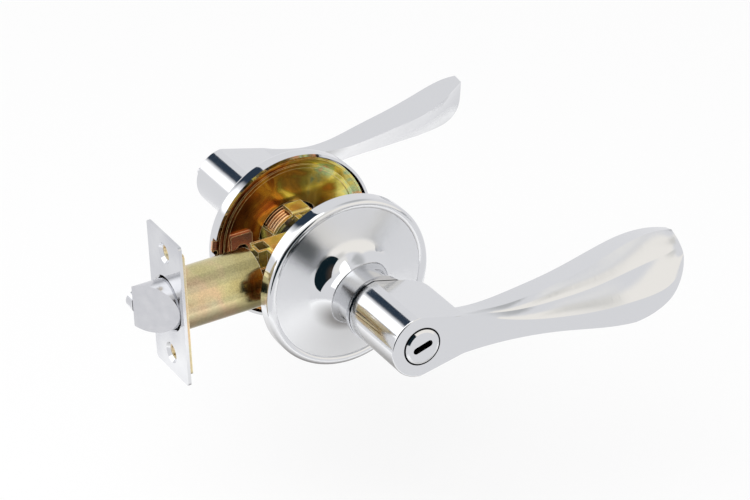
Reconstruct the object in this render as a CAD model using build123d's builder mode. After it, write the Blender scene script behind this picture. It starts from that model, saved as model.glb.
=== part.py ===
"""Privacy lever lock for a room door: two sculpted levers on round roses, a chassis and a spring latch.

The origin is where the spindle axis crosses the latch axis, in the middle of the door's thickness.
+X runs from the latch to the lever tips, +Z is up, and the spindle axis is Y: the outside lever,
with the emergency release, is at -Y and the inside lever, with the thumb turn, is at +Y.
Sizes are in millimetres. A distance "out" is measured from the door's middle along the spindle axis.
"""

import os
from math import cos, hypot, radians, sin

from build123d import *

os.makedirs("parts", exist_ok=True)

# The door that the lock fits
door_thickness = 35.0
backset = 60.3
running_gap = 0.3
pivot_gap = 0.05

# Roses: pressed discs with a rolled bead, a stepped dish and a drawn neck
rose_radius = 32.5
rose_wall = 1.0
rose_rim_height = 5.7
bead_radius = 1.6
dish_step = 1.5
dish_drop = 1.3
dish_rise = 0.7
flare_radius = 7.0
neck_radius = 10.35
neck_end = 24.4

# Liners: plated pressings inside the roses
liner_gap = 0.7
liner_wall = 0.8
liner_lip_drop = 1.4
liner_floor_depth = 2.5
liner_bead_inset = 5.5
liner_bead_width = 1.4
liner_hole_gap = 1.3
screw_offset = 20.9
screw_hole_radius = 2.6
screw_pad_width = 8.8
screw_pad_height = 13.4
screw_pad_rise = 1.6
hook_height = 3.8
hook_angle = 9.0

# Chassis: a folded frame with a threaded hub on each leg
frame_wall = 1.5
frame_inside = 22.0
frame_arch_radius = 13.0
frame_half_height = 11.3
frame_right = 23.6
strap_width = 7.2
strap_length = 7.1
strap_height = 13.9
strap_roll = 1.3
tongue_wall = 1.2
tongue_half_height = 6.9
tongue_end_half_height = 5.8
tongue_length = 11.0
hub_radius = 11.8
hub_flat = 9.8
hub_length = 10.5
hub_spigot_radius = 10.2
thread_pitch = 1.5
thread_depth = 0.7

# Spindles: tubes with a cam plate at the inner end
spindle_radius = 8.4
spindle_wall = 1.1
cam_thickness = 2.0
cam_disc_radius = 9.3
ear_radius = 12.2
ear_tip_radius = 1.5
lever_travel = 54.0
washer_thickness = 0.5
ring_thickness = 1.2
ring_groove = 0.6
ring_width = 2.3

# Levers
hub_grip_radius = 11.7
hub_face = 73.2
hub_gap = 0.3
spindle_inset = 8.2
bush_flange = 1.7
bush_flange_radius = 12.2
bush_length = 4.0
block_reach = 17.1
block_corner_radius = 5.9
root_height = 11.3
root_top_slope = 15.1
root_bottom_slope = 10.8
hub_edge_round = 0.5
lever_reach = 104.7
tip_height = 2.5
tip_top_radius = 42.0
tip_bottom_radius = 12.6
tip_sweep_radius = 60.0
catch_radius = 1.8
catch_out = 56.0

# Release button, turn bar and thumb turn
turn_rest = 16.0
button_radius = 6.9
button_depth = 5.0
button_proud = 0.6
button_bevel = 1.3
slot_length = 7.8
slot_width = 2.5
slot_depth = 3.0
bar_radius = 2.0
thumb_base_radius = 5.6
thumb_base_depth = 2.0
thumb_length = 13.0
thumb_thickness = 3.4
thumb_height = 10.4

# Latch: faceplate, tube, bolt and dead-latching plunger
faceplate_size = (25.0, 56.2)
faceplate_thickness = 1.2
faceplate_corner = 1.2
face_screw_spacing = 40.6
face_screw_radius = 2.3
face_sink_radius = 4.0
backing_size = (23.6, 48.4)
backing_thickness = 1.2
tube_radius = 11.0
tube_wall = 0.8
tube_end = 27.1
bolt_radius = 9.4
bolt_projection = 11.1
bolt_flat = 4.9
bolt_rear = 47.8
bolt_flange = 1.5
bolt_opening_gap = 0.6
bolt_opening_bevel = 0.5
plunger_projection = 11.7
plunger_radius = 4.1
plunger_rear = 58.5
tail_thickness = 1.2
tail_offset = 2.0
tail_half_height = 5.9
tail_head_height = 8.2
tail_head_length = 1.6
cap_thickness = 1.5
cap_inset = 2.5
fork_wall = 1.2
fork_inside = 6.4
fork_half_height = 6.5
fork_reach = 15.6

# Retractor: a folded slide that the cam ears push away from the latch
slide_wall = 1.2
slide_half_width = 6.1
slide_half_height = 10.0
slide_left = 23.8
slide_prong = 1.0
slide_step = 3.6
slide_web_start = 19.0
slide_window_start = 14.8
slide_window_height = 4.3
slide_right = 3.9
shoe_half_width = 9.2
shoe_height = 13.6
shoe_thickness = 2.0
shoe_gap = 0.4
shoe_foot = 0.6

# Springs
slide_coil_radius = 3.0
slide_wire = 0.8
slide_turns = 7
bolt_coil_radius = 7.2
bolt_wire = 0.8
bolt_turns = 5
pin_coil_radius = 1.1
pin_wire = 0.4
pin_turns = 5

# Places that follow from the sizes above
lip = door_thickness / 2
dish_radius = rose_radius - bead_radius - dish_step
spindle_end = hub_face - spindle_inset
bead_top = lip + rose_rim_height
dish_edge = bead_top - dish_drop
neck_top = lip + neck_end
frame_half = frame_inside / 2
hub_end = frame_half + frame_wall + hub_length
cam_out = frame_half - washer_thickness - running_gap
grip_start = neck_top + bush_flange + hub_gap
ear_rest = lever_travel / 2
slide_travel = 2 * ear_radius * sin(radians(ear_rest))
shoe_left = ear_tip_radius + shoe_gap - ear_radius * sin(radians(ear_rest))

# Plane of a half-section: its x is the radius and its y is the distance out, towards the outside lever
half_section = Plane(origin=(0, 0, 0), x_dir=(1, 0, 0), z_dir=(0, 0, -1))


def facing_out(out):
    """Plane across the spindle axis, with X to the right and Z up, whose extrusions run outwards."""
    return Plane.XZ.offset(out)


def across_latch(depth):
    """Plane across the latch axis at X = -depth, with Y to the right and Z up, facing the lever tips."""
    return Plane.YZ.offset(-depth)


def keep(piece, name):
    piece.label = name
    export_step(piece, f"parts/{name}.step")


def keep_pair(piece, name):
    """The outside piece as modelled, and the inside one as its mirror image through the door's middle."""
    keep(piece, f"outside_{name}")
    keep(mirror(piece, about=Plane.XZ), f"inside_{name}")


def turned(outline):
    """A ring or disc turned about the spindle axis from (radius, out) points."""
    with BuildPart() as ring:
        with BuildSketch(half_section):
            with BuildLine():
                Polyline(*outline, close=True)
            make_face()
        revolve(axis=Axis.Y)
    return ring.part


def coil(start, radius, wire, turns, length):
    """A compression spring along +X from a start point."""
    with BuildPart() as spring:
        with BuildLine() as path:
            Helix(length / turns, length, radius, center=start, direction=(1, 0, 0))
        with BuildSketch(Plane(origin=path.line @ 0, z_dir=path.line % 0)):
            Circle(wire / 2)
        sweep(is_frenet=True)
    return spring.part


# Rose: the rim stands on the door and rolls over a bead into the stepped dish, which flares up to the neck
with BuildPart() as rose:
    with BuildSketch(half_section):
        with BuildLine() as profile:
            rim = Line((rose_radius, lip), (rose_radius, bead_top - bead_radius))
            bead = TangentArc(rim @ 1, (rose_radius - bead_radius, bead_top), tangent=rim % 1)
            fall = TangentArc(bead @ 1, (dish_radius, dish_edge), tangent=bead % 1)
            dish = Line(fall @ 1, (neck_radius, dish_edge + dish_rise))
            Line(dish @ 1, (neck_radius, neck_top))
            fillet(profile.vertices().sort_by_distance(dish @ 1)[0], flare_radius)
            offset(amount=rose_wall, side=Side.LEFT)
        make_face()
    revolve(axis=Axis.Y)
keep(rose.part, "outside_rose")

# The inside rose has a notch in its rim for the hook of its liner
inside_rim = Plane.XZ.offset(-lip)
with BuildPart() as notched_rose:
    mirror(rose.part, about=Plane.XZ)
    with BuildSketch(inside_rim):
        with PolarLocations(rose_radius - rose_wall / 2, 1, start_angle=180 - hook_angle):
            Rectangle(3 * rose_wall, hook_height + 2 * running_gap)
    extrude(amount=-(liner_lip_drop + liner_wall + running_gap), mode=Mode.SUBTRACT)
keep(notched_rose.part, "inside_rose")

# Liner: a lip, a sloping wall, a raised bead and a flat floor with a hole for the hub
liner_radius = rose_radius - rose_wall - liner_gap - liner_wall
liner_lip = lip + liner_lip_drop
liner_floor = lip + liner_floor_depth
liner_bead_radius = rose_radius - liner_bead_inset
liner_bore = hub_radius + liner_hole_gap
with BuildPart() as liner:
    with BuildSketch(half_section):
        with BuildLine():
            Polyline(
                (liner_radius, liner_lip),
                (liner_radius, liner_lip + liner_wall / 2),
                (liner_bead_radius + liner_bead_width / 2, liner_floor),
                (liner_bore, liner_floor),
            )
            offset(amount=liner_wall, side=Side.RIGHT, kind=Kind.INTERSECTION)
        make_face()
        with Locations((liner_bead_radius, liner_floor)):
            Rectangle(liner_bead_width, 2 * liner_wall)
    revolve(axis=Axis.Y)
    with BuildSketch(facing_out(liner_floor - screw_pad_rise)):
        with Locations((-screw_offset, 0), (screw_offset, 0)):
            RectangleRounded(screw_pad_width, screw_pad_height, liner_wall)
    extrude(amount=screw_pad_rise + liner_wall / 2)
    with BuildSketch(facing_out(liner_floor - screw_pad_rise + liner_wall)):
        with Locations((-screw_offset, 0), (screw_offset, 0)):
            Rectangle(screw_pad_width - 2 * liner_wall, screw_pad_height - 2 * liner_wall)
    extrude(amount=screw_pad_rise, mode=Mode.SUBTRACT)
    with BuildSketch(facing_out(liner_floor - screw_pad_rise)):
        with Locations((-screw_offset, 0), (screw_offset, 0)):
            Circle(screw_hole_radius)
    extrude(amount=screw_pad_rise + 2 * liner_wall, mode=Mode.SUBTRACT)
keep(liner.part, "outside_liner")

# The inside liner has a hook that holds the rose at the notch
with BuildPart() as hooked_liner:
    mirror(liner.part, about=Plane.XZ)
    hook_end = rose_radius + 2 * liner_wall / 3
    hook_start = liner_radius + liner_wall / 2
    with BuildSketch(Plane.XZ.offset(-liner_lip)):
        with PolarLocations((hook_end + hook_start) / 2, 1, start_angle=180 - hook_angle):
            Rectangle(hook_end - hook_start, hook_height)
    extrude(amount=-liner_wall)
keep(hooked_liner.part, "inside_liner")

# Chassis frame: two legs with arched ends, a web at the spring end, and a strap over and a tongue beside each hub
leg_start = frame_half
leg_end = frame_half + frame_wall
with BuildPart() as frame:
    with BuildSketch(facing_out(leg_start)):
        Circle(frame_arch_radius)
        with Locations((frame_right / 2, 0)):
            Rectangle(frame_right, 2 * frame_half_height)
        Circle(hub_spigot_radius, mode=Mode.SUBTRACT)
    extrude(amount=frame_wall)
    with BuildSketch(Plane.XZ.offset(0)):
        with Locations((frame_right - frame_wall / 2, 0)):
            Rectangle(frame_wall, 2 * frame_half_height)
    extrude(amount=leg_end)
    with BuildSketch(Plane.YZ.offset(-strap_width / 2)):
        with BuildLine():
            foot = Line((-leg_end, strap_height - 2 * frame_wall), (-leg_start, strap_height - 2 * frame_wall))
            rise = Line(foot @ 1, (-leg_start, strap_height - strap_roll))
            roll = TangentArc(rise @ 1, (-leg_start - strap_roll, strap_height), tangent=rise % 1)
            top = Line(roll @ 1, (-leg_start - strap_length, strap_height))
            drop = Line(top @ 1, (-leg_start - strap_length, strap_height - frame_wall))
            under = Line(drop @ 1, (-leg_end, strap_height - frame_wall))
            Line(under @ 1, foot @ 0)
        make_face()
    extrude(amount=strap_width)
    with BuildSketch(Plane.YZ.offset(-hub_flat - running_gap)):
        with BuildLine():
            Polyline(
                (-leg_start, tongue_half_height),
                (-leg_start - tongue_length, tongue_end_half_height),
                (-leg_start - tongue_length, -tongue_end_half_height),
                (-leg_start, -tongue_half_height),
                close=True,
            )
        make_face()
    extrude(amount=-tongue_wall)
    mirror(about=Plane.XZ)
keep(frame.part, "chassis_frame")

# Hub: a threaded sleeve with two flats, staked into the leg by its spigot
bore_radius = spindle_radius + pivot_gap
with BuildPart() as hub:
    with BuildSketch(half_section):
        with BuildLine():
            crest = [(hub_radius, leg_end), (hub_radius, leg_end + thread_pitch / 2)]
            for turn in range(int(hub_length / thread_pitch) - 1):
                at = leg_end + (turn + 0.5) * thread_pitch
                crest.append((hub_radius - thread_depth, at + thread_pitch / 2))
                crest.append((hub_radius, at + thread_pitch))
            spigot = [(bore_radius, hub_end), (bore_radius, leg_start), (hub_spigot_radius, leg_start)]
            Polyline(
                *crest,
                (hub_radius, hub_end - thread_depth),
                (hub_radius - thread_depth, hub_end),
                *spigot,
                (hub_spigot_radius, leg_end),
                close=True,
            )
        make_face()
    revolve(axis=Axis.Y)
    with Locations((0, -(leg_start + hub_end) / 2, 0)):
        Box(2 * hub_flat, hub_end, 3 * hub_radius, mode=Mode.INTERSECT)
keep_pair(hub.part, "hub")

# Thrust washer between the cam plate and the frame's leg
washer = turned(
    [
        (bore_radius, leg_start - washer_thickness),
        (hub_radius, leg_start - washer_thickness),
        (hub_radius, leg_start),
        (bore_radius, leg_start),
    ]
)
keep_pair(washer, "washer")

# Spindle: the cam plate's two ears stand back towards the latch, so that they swing evenly past the axis
ring_start = hub_end + running_gap
groove_radius = spindle_radius - ring_groove
spindle_bore = spindle_radius - spindle_wall
ear_x = -ear_radius * sin(radians(ear_rest))
ear_z = ear_radius * cos(radians(ear_rest))
with BuildPart() as spindle:
    with BuildSketch(facing_out(cam_out - cam_thickness)):
        Circle(cam_disc_radius)
        for side in (1, -1):
            with BuildLine():
                Polyline((0, 0), (ear_x - ear_tip_radius, side * ear_z), (ear_x + ear_tip_radius, side * ear_z), close=True)
            make_face()
            with Locations((ear_x, side * ear_z)):
                Circle(ear_tip_radius)
    extrude(amount=cam_thickness)
    with BuildSketch(facing_out(cam_out - cam_thickness)):
        Circle(spindle_radius)
    extrude(amount=spindle_end - cam_out + cam_thickness)
    with BuildSketch(facing_out(cam_out)):
        Circle(spindle_bore)
    extrude(amount=spindle_end - cam_out, mode=Mode.SUBTRACT)
    with BuildSketch(facing_out(0)):
        Circle(bar_radius + running_gap)
    extrude(amount=spindle_end, mode=Mode.SUBTRACT)
    with BuildSketch(facing_out(ring_start)):
        Circle(2 * spindle_radius)
        Circle(groove_radius, mode=Mode.SUBTRACT)
    extrude(amount=ring_thickness, mode=Mode.SUBTRACT)
    with BuildSketch(Plane.XY.offset(-spindle_radius - running_gap)):
        with Locations((0, -catch_out)):
            Circle(catch_radius)
    extrude(amount=spindle_radius, mode=Mode.SUBTRACT)
keep_pair(spindle.part, "spindle")

# Retaining ring: an open ring sprung into the spindle's groove outside the hub
with BuildPart() as ring:
    with BuildSketch(facing_out(ring_start)):
        Circle(groove_radius + ring_width)
        Circle(groove_radius, mode=Mode.SUBTRACT)
        with Locations((0, -groove_radius - ring_width / 2)):
            Rectangle(2 * ring_width, 2 * ring_width, mode=Mode.SUBTRACT)
    extrude(amount=ring_thickness)
keep_pair(ring.part, "retaining_ring")

# Bush: fits inside the rose's neck, carries the spindle and shows as a bright collar behind the lever
neck_bore = neck_radius - rose_wall - pivot_gap
bush = turned(
    [
        (bore_radius, neck_top - bush_length),
        (neck_bore, neck_top - bush_length),
        (neck_bore, neck_top),
        (bush_flange_radius - bush_flange / 4, neck_top),
        (bush_flange_radius, neck_top + bush_flange / 4),
        (bush_flange_radius, neck_top + bush_flange),
        (bore_radius, neck_top + bush_flange),
    ]
)
keep_pair(bush, "neck_bush")


# Lever arm: crisp edges run along it, named here from the door side over the top to the underside.
# Each station is (X, rear crest, front crest, ridge, foot, heel, lobe), the corners as (beyond the hub
# face, height), then how far the two swells of the face and the valley between them stand proud.
arm_stations = [
    (11.8, (-7.4, 6.8), (-1.2, 7.6), (-0.1, 7.4), (-0.1, -8.2), (-7.6, -8.2), 0.03, 0.0),
    (19.7, (-8.0, 5.3), (-1.9, 6.2), (0.1, 5.7), (0.1, -8.1), (-6.4, -7.8), 0.05, 0.0),
    (31.5, (-9.2, 3.9), (-3.1, 3.9), (0.4, 0.8), (0.4, -8.5), (-4.2, -7.7), 0.15, 0.0),
    (44.3, (-11.3, 3.3), (-3.1, 3.8), (2.2, -2.7), (2.2, -9.0), (-1.6, -8.1), 0.3, 0.0),
    (57.1, (-12.0, 4.2), (-2.3, 5.9), (4.9, -4.2), (4.9, -10.1), (1.2, -9.2), 0.4, 0.0),
    (68.9, (-12.5, 6.0), (-2.1, 8.2), (7.6, -4.4), (7.6, -11.6), (4.0, -10.7), 0.45, 0.0),
    (80.7, (-13.0, 8.2), (-2.3, 11.3), (9.4, -3.9), (9.4, -12.6), (5.9, -11.6), 0.45, 0.0),
    (92.5, (-10.6, 11.3), (-1.7, 14.1), (9.2, -3.6), (9.2, -12.6), (5.8, -11.5), 0.4, 0.0),
    (99.5, (-6.9, 12.6), (-0.8, 14.3), (7.6, -2.1), (7.6, -12.4), (4.3, -11.2), 0.4, 0.6),
    (106.0, (-2.2, 12.4), (0.4, 13.2), (5.2, 8.6), (5.2, -12.0), (2.2, -11.0), 0.6, 2.0),
]
valley_share = 0.46


def across_arm(x):
    """Plane across the arm whose x is the distance out and whose y is the height."""
    return Plane(origin=(x, 0, 0), x_dir=(0, -1, 0), z_dir=(-1, 0, 0))


def between(start, end, share, proud=0.0):
    """The point a share of the way along a line, moved out of the face by proud."""
    run, rise = end[0] - start[0], end[1] - start[1]
    size = hypot(run, rise)
    return (start[0] + share * run - proud * rise / size, start[1] + share * rise + proud * run / size)


# Lever: a round hub drawn out to a block, and the arm that leaves it and widens into the paddle
root_top = radians(root_top_slope)
root_bottom = radians(root_bottom_slope)
block_far = block_reach + block_corner_radius


def root_line(x):
    """Heights of the flats above and below the lever's root, which close in towards the arm."""
    top = root_height - x * sin(root_top) / cos(root_top)
    bottom = x * sin(root_bottom) / cos(root_bottom) - root_height
    return (x, top), (x, bottom)


with BuildPart() as lever_block:
    with BuildSketch(facing_out(grip_start)):
        Circle(hub_grip_radius)
        with BuildLine():
            Polyline(*root_line(0), *reversed(root_line(block_far)), close=True)
        make_face()
        with BuildLine():
            Polyline(*root_line(-block_far), *reversed(root_line(block_far)), close=True)
        make_face(mode=Mode.INTERSECT)
    extrude(amount=hub_face - grip_start)
    fillet(lever_block.faces().sort_by(Axis.Y)[0].edges().filter_by(GeomType.CIRCLE), hub_edge_round)
    with BuildSketch(Plane.XY, mode=Mode.PRIVATE) as plan:
        with BuildLine():
            edge = Line((-2 * hub_grip_radius, -hub_face), (block_reach, -hub_face))
            side = Line(edge @ 1, (block_reach, -grip_start - block_corner_radius))
            corner = TangentArc(side @ 1, (block_reach - block_corner_radius, -grip_start), tangent=side % 1)
            rear = Line(corner @ 1, (-2 * hub_grip_radius, -grip_start))
            Line(rear @ 1, edge @ 0)
        make_face()
    extrude(plan.sketch, amount=2 * hub_grip_radius, both=True, mode=Mode.INTERSECT)

with BuildPart() as arm:
    for x, rear_crest, front_crest, ridge, foot, heel, lobe, dome in arm_stations:
        corners = [(hub_face + out, up) for out, up in (rear_crest, front_crest, ridge, foot, heel)]
        crest_back, crest_front, brow, toe, under = corners
        valley = between(crest_front, brow, valley_share, dome)
        with BuildSketch(across_arm(x)):
            with BuildLine():
                Line(crest_back, crest_front)
                ThreePointArc(crest_front, between(crest_front, valley, 0.5, lobe), valley)
                ThreePointArc(valley, between(valley, brow, 0.5, lobe), brow)
                Polyline(brow, toe, under, crest_back)
            make_face()
    loft()
    tall = 2 * tip_top_radius
    with BuildSketch(facing_out(0), mode=Mode.PRIVATE) as outline:
        with BuildLine():
            crown = JernArc((lever_reach, tip_height), (0, 1), tip_top_radius, 45)
            nose = JernArc((lever_reach, tip_height), (0, -1), tip_bottom_radius, -70)
            sweep_back = JernArc(nose @ 1, nose % 1, tip_sweep_radius, -16)
            low = (sweep_back @ 1).X
            high = (crown @ 1).X
            Polyline(crown @ 1, (high, tall), (0, tall), (0, -tall), (low, -tall), sweep_back @ 1)
        make_face()
    extrude(outline.sketch, amount=2 * hub_face, mode=Mode.INTERSECT)

with BuildPart() as lever:
    add(lever_block.part)
    add(arm.part)
    with BuildSketch(facing_out(grip_start)):
        Circle(bore_radius)
    extrude(amount=spindle_end + running_gap - grip_start, mode=Mode.SUBTRACT)
    with BuildSketch(facing_out(grip_start)):
        Circle(bar_radius + running_gap)
    extrude(amount=hub_face - grip_start, mode=Mode.SUBTRACT)
    with BuildSketch(Plane.XY.offset(-2 * hub_grip_radius)):
        with Locations((0, -catch_out)):
            Circle(catch_radius + pivot_gap)
    extrude(amount=2 * hub_grip_radius, mode=Mode.SUBTRACT)

with BuildPart() as outside_lever:
    add(lever.part)
    with BuildSketch(facing_out(hub_face - button_depth)):
        Circle(button_radius + running_gap)
    extrude(amount=2 * button_depth, mode=Mode.SUBTRACT)
keep(outside_lever.part, "outside_lever")

with BuildPart() as inside_lever:
    mirror(lever.part, about=Plane.XZ)
    with BuildSketch(Plane.XZ.offset(-hub_face + thumb_base_depth)):
        Circle(thumb_base_radius + running_gap)
    extrude(amount=-2 * thumb_base_depth, mode=Mode.SUBTRACT)
keep(inside_lever.part, "inside_lever")

# Catch: the sprung pin that locks the lever on its spindle, reached through the hub's underside
with BuildPart() as catch:
    with BuildSketch(Plane.XY.offset(-hub_grip_radius + 2 * running_gap)):
        with Locations((0, -catch_out)):
            Circle(catch_radius)
    extrude(amount=hub_grip_radius - 2 * running_gap - spindle_bore)
keep_pair(catch.part, "lever_catch")

# Release button: a bevelled disc with a blind slot for a coin, turned with the bar behind it
turn_tilt = Rotation(0, -turn_rest, 0)
button_face = hub_face + button_proud
with BuildPart() as button:
    with BuildSketch(facing_out(hub_face - button_depth + running_gap)):
        Circle(button_radius)
    extrude(amount=button_depth - running_gap + button_proud)
    chamfer(button.faces().sort_by(Axis.Y)[0].outer_wire().edges(), button_proud, button_bevel)
    with BuildSketch(facing_out(button_face - slot_depth)):
        SlotOverall(slot_length, slot_width)
    extrude(amount=slot_depth, mode=Mode.SUBTRACT)
keep(turn_tilt * button.part, "release_button")

# Thumb turn: a round base sunk in the lever and a flat grip across it
thumb_start = hub_face - thumb_base_depth + running_gap
with BuildPart() as thumb:
    with BuildSketch(Plane.XZ.offset(-thumb_start)):
        Circle(thumb_base_radius)
    extrude(amount=-thumb_base_depth)
    with BuildSketch(Plane.XZ.offset(-hub_face - running_gap)):
        SlotOverall(thumb_length, thumb_thickness)
    extrude(amount=running_gap - thumb_height)
    grip_top = thumb.faces().sort_by(Axis.Y)[-1]
    fillet(grip_top.edges(), thumb_thickness / 4)
keep(turn_tilt * thumb.part, "thumb_turn")

# Turn bar: joins the thumb turn to the release button through both spindles
bar_start = button_face - button_proud - button_depth + running_gap
with BuildPart() as bar:
    with BuildSketch(facing_out(bar_start)):
        Rectangle(2 * bar_radius * cos(radians(30)), 2 * bar_radius * sin(radians(30)))
    extrude(amount=-(bar_start + thumb_start))
keep(turn_tilt * bar.part, "turn_bar")

# Faceplate: screwed into the door's edge, with the hole that the bolt comes through
face_wide, face_tall = faceplate_size
bolt_opening = bolt_radius + bolt_opening_gap
with BuildPart() as faceplate:
    with BuildSketch(across_latch(backset)):
        RectangleRounded(face_wide, face_tall, faceplate_corner)
    extrude(amount=faceplate_thickness)
    with Locations(Plane(origin=(-backset, 0, 0), x_dir=(0, 1, 0), z_dir=(-1, 0, 0))):
        CounterSinkHole(bolt_opening, bolt_opening + bolt_opening_bevel, faceplate_thickness)
        with GridLocations(0, face_screw_spacing, 1, 2):
            CounterSinkHole(face_screw_radius, face_sink_radius, faceplate_thickness)
keep(faceplate.part, "faceplate")

# Backing plate: the shorter plated plate behind the faceplate, staked round the end of the tube
back_wide, back_tall = backing_size
tube_start = backset - faceplate_thickness
with BuildPart() as backing:
    with BuildSketch(across_latch(backset - faceplate_thickness)):
        RectangleRounded(back_wide, back_tall, faceplate_corner)
        Circle(tube_radius, mode=Mode.SUBTRACT)
        with GridLocations(0, face_screw_spacing, 1, 2):
            Circle(face_screw_radius, mode=Mode.SUBTRACT)
    extrude(amount=backing_thickness)
keep(backing.part, "backing_plate")

# Latch tube
tube_bore = tube_radius - tube_wall
with BuildPart() as tube:
    with BuildSketch(across_latch(tube_start)):
        Circle(tube_radius)
        Circle(tube_bore, mode=Mode.SUBTRACT)
    extrude(amount=tube_start - tube_end)
keep(tube.part, "latch_tube")

# Bolt: a round bar with a flat for the plunger and the bevel that rides on the strike
bolt_tip = backset + bolt_projection
with BuildPart() as bolt:
    with BuildSketch(across_latch(bolt_tip)):
        Circle(bolt_radius)
        with Locations((bolt_flat + bolt_radius, 0)):
            Rectangle(2 * bolt_radius, 2 * bolt_radius, mode=Mode.SUBTRACT)
    extrude(amount=bolt_tip - bolt_rear)
    with BuildSketch(across_latch(bolt_rear + bolt_flange)):
        Circle(bolt_radius)
    extrude(amount=bolt_flange)
    with BuildSketch(Plane.XY.offset(-bolt_radius)):
        with BuildLine():
            Polyline(
                (-bolt_tip, bolt_flat),
                (-backset, -bolt_radius),
                (-backset, -2 * bolt_radius),
                (-2 * bolt_tip, -2 * bolt_radius),
                (-2 * bolt_tip, bolt_flat),
                close=True,
            )
        make_face()
    extrude(amount=2 * bolt_radius, mode=Mode.SUBTRACT)
keep(bolt.part, "latch_bolt")

# Tail: the strip that draws the bolt back, with a head behind the retractor's slotted wall
head_start = slide_left - slide_wall - running_gap
with BuildPart() as tail:
    with BuildSketch(Plane.XZ.offset(-tail_offset + tail_thickness / 2)):
        with Locations(((-bolt_rear - head_start) / 2, 0)):
            Rectangle(bolt_rear - head_start, 2 * tail_half_height)
        with Locations((-head_start + tail_head_length / 2, 0)):
            Rectangle(tail_head_length, 2 * tail_head_height)
    extrude(amount=-tail_thickness)
keep(tail.part, "latch_tail")

# Dead-latching plunger: lies on the bolt's flat, with a half-round nose
plunger_tip = backset + plunger_projection
plunger_flat = bolt_flat + running_gap
with BuildPart() as plunger:
    with BuildSketch(Plane.XZ.offset(-plunger_flat)):
        nose = plunger_tip - plunger_radius
        with Locations((-nose, 0)):
            Circle(plunger_radius)
        with Locations(((-nose - plunger_rear) / 2, 0)):
            Rectangle(nose - plunger_rear, 2 * plunger_radius)
    extrude(amount=-bolt_radius)
    with Locations((-(plunger_tip + plunger_rear) / 2, 0, 0)):
        Cylinder(bolt_radius, 2 * plunger_tip, rotation=(0, 90, 0), mode=Mode.INTERSECT)
keep(plunger.part, "deadlatch_plunger")

# Fork: the cap that closes the tube, guides the tail and holds the retractor between two plates
cap_start = tube_end + cap_inset + cap_thickness
with BuildPart() as fork:
    with BuildSketch(across_latch(cap_start)):
        Circle(tube_bore)
        with Locations((tail_offset, 0)):
            Rectangle(tail_thickness + 2 * running_gap, 2 * (tail_half_height + running_gap), mode=Mode.SUBTRACT)
    extrude(amount=cap_thickness)
    with BuildSketch(across_latch(cap_start)):
        for side in (1, -1):
            with Locations((side * (fork_inside + fork_wall / 2), 0)):
                Rectangle(fork_wall, 2 * fork_half_height)
    extrude(amount=cap_start - fork_reach)
keep(fork.part, "latch_fork")

# Retractor: side walls, stepped wall towards the latch, webs above and below, and a shoe for each pair of ears
tail_slot = tail_thickness + 2 * running_gap
wall_z = slide_half_height - slide_prong
with BuildPart() as slide:
    with BuildSketch(Plane.XY.offset(-slide_half_height)):
        for side in (1, -1):
            left = slide_left if side > 0 else slide_left - slide_step
            with Locations(((slide_right - left) / 2, side * (slide_half_width - slide_wall / 2))):
                Rectangle(slide_right + left, slide_wall)
    extrude(amount=2 * slide_half_height)
    with BuildSketch(Plane.XY.offset(-wall_z)):
        step_y = tail_offset - tail_slot / 2 - slide_wall
        with BuildLine():
            Polyline(
                (-slide_left, slide_half_width),
                (-slide_left, step_y),
                (-slide_left + slide_step, step_y),
                (-slide_left + slide_step, -slide_half_width),
                (-slide_left + slide_step + slide_wall, -slide_half_width),
                (-slide_left + slide_step + slide_wall, step_y + slide_wall),
                (-slide_left + slide_wall, step_y + slide_wall),
                (-slide_left + slide_wall, slide_half_width),
                close=True,
            )
        make_face()
    extrude(amount=2 * wall_z)
    with BuildSketch(Plane.YZ.offset(-slide_left)):
        with Locations((tail_offset, 0)):
            Rectangle(tail_slot, 2 * (tail_half_height + running_gap))
    extrude(amount=slide_wall, mode=Mode.SUBTRACT)
    with BuildSketch(Plane.XZ.offset(-slide_half_width)):
        for side in (1, -1):
            with Locations(((slide_right - slide_web_start) / 2, side * (slide_half_height - slide_wall / 2))):
                Rectangle(slide_right + slide_web_start, slide_wall)
            with Locations((slide_right - slide_wall / 2, side * (slide_half_height + slide_window_height) / 2)):
                Rectangle(slide_wall, slide_half_height - slide_window_height)
    extrude(amount=2 * slide_half_width)
    with BuildSketch(Plane.XZ.offset(-slide_half_width)):
        with Locations(((slide_right - slide_window_start) / 2, 0)):
            Rectangle(slide_right + slide_window_start, 2 * slide_window_height)
    extrude(amount=2 * slide_half_width, mode=Mode.SUBTRACT)
    with BuildSketch(Plane.XZ.offset(-shoe_half_width)):
        for side in (1, -1):
            with Locations((shoe_left + shoe_thickness / 2, side * (slide_half_height + shoe_foot + shoe_height) / 2)):
                Rectangle(shoe_thickness, shoe_height - slide_half_height - shoe_foot)
    extrude(amount=2 * shoe_half_width)
    with BuildSketch(Plane.XZ.offset(-slide_half_width)):
        with Locations((shoe_left + shoe_thickness / 2, 0)):
            Rectangle(shoe_thickness, 2 * shoe_height)
            Rectangle(shoe_thickness, 2 * (slide_half_height - slide_wall), mode=Mode.SUBTRACT)
    extrude(amount=2 * slide_half_width)
keep(slide.part, "retractor")

# Springs: two push the retractor back towards the latch, one drives the bolt and one the plunger
spring_start = slide_right + slide_wire / 2
spring_run = frame_right - frame_wall - slide_right - slide_wire
spring_height = (slide_window_height + slide_half_height - slide_wall) / 2
with BuildPart() as retractor_springs:
    for side in (1, -1):
        add(coil((spring_start, 0, side * spring_height), slide_coil_radius, slide_wire, slide_turns, spring_run))
keep(retractor_springs.part, "retractor_springs")

bolt_run = bolt_rear - cap_start - bolt_wire
keep(coil((-bolt_rear + bolt_wire / 2, 0, 0), bolt_coil_radius, bolt_wire, bolt_turns, bolt_run), "bolt_spring")

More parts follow.
